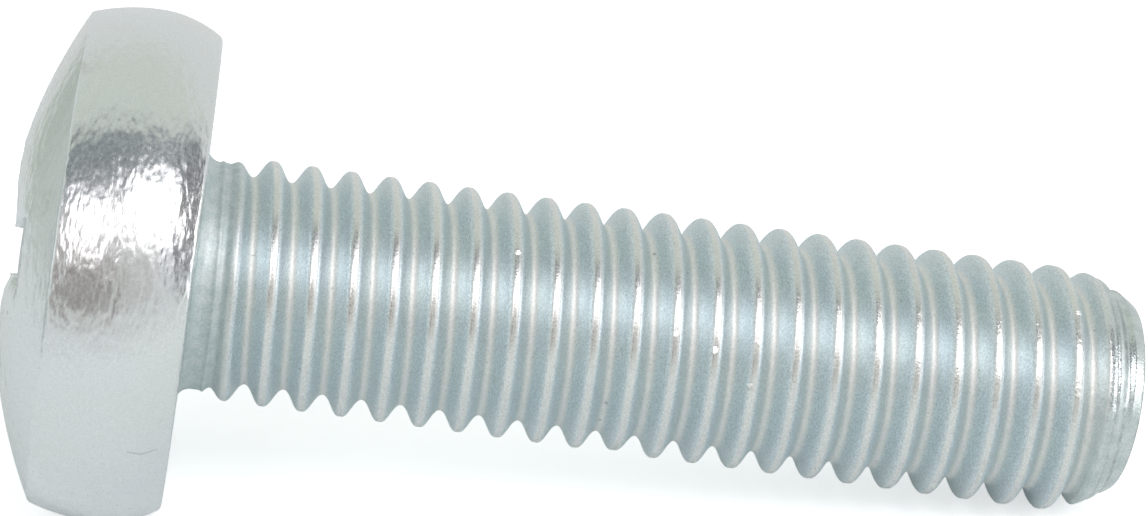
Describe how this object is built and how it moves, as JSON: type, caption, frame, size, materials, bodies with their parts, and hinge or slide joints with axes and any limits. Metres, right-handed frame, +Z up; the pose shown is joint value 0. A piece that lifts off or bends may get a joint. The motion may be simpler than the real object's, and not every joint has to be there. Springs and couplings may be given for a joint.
{
  "type": "machine screw",
  "caption": "Metric machine screw with a raised pan head, a cross recess, a short plain neck and a right-hand thread down to its rounded point, zinc plated.",
  "frame": {"origin": "centre of the bearing face under the head, on the screw's axis", "axes": "+X runs along the shank towards the point, which dips 8.25 degrees below it because the screw lies on its head and point; +Z is up; +Y is the far side in the picture"},
  "size_m": [0.036, 0.0162, 0.0162],
  "materials": {
    "zinc_plate": "bright clear zinc plating, slightly blue, smooth on the head and finely grained on the thread"
  },
  "bodies": {
    "root": {"screw": "zinc_plate"}
  },
  "joints": []
}
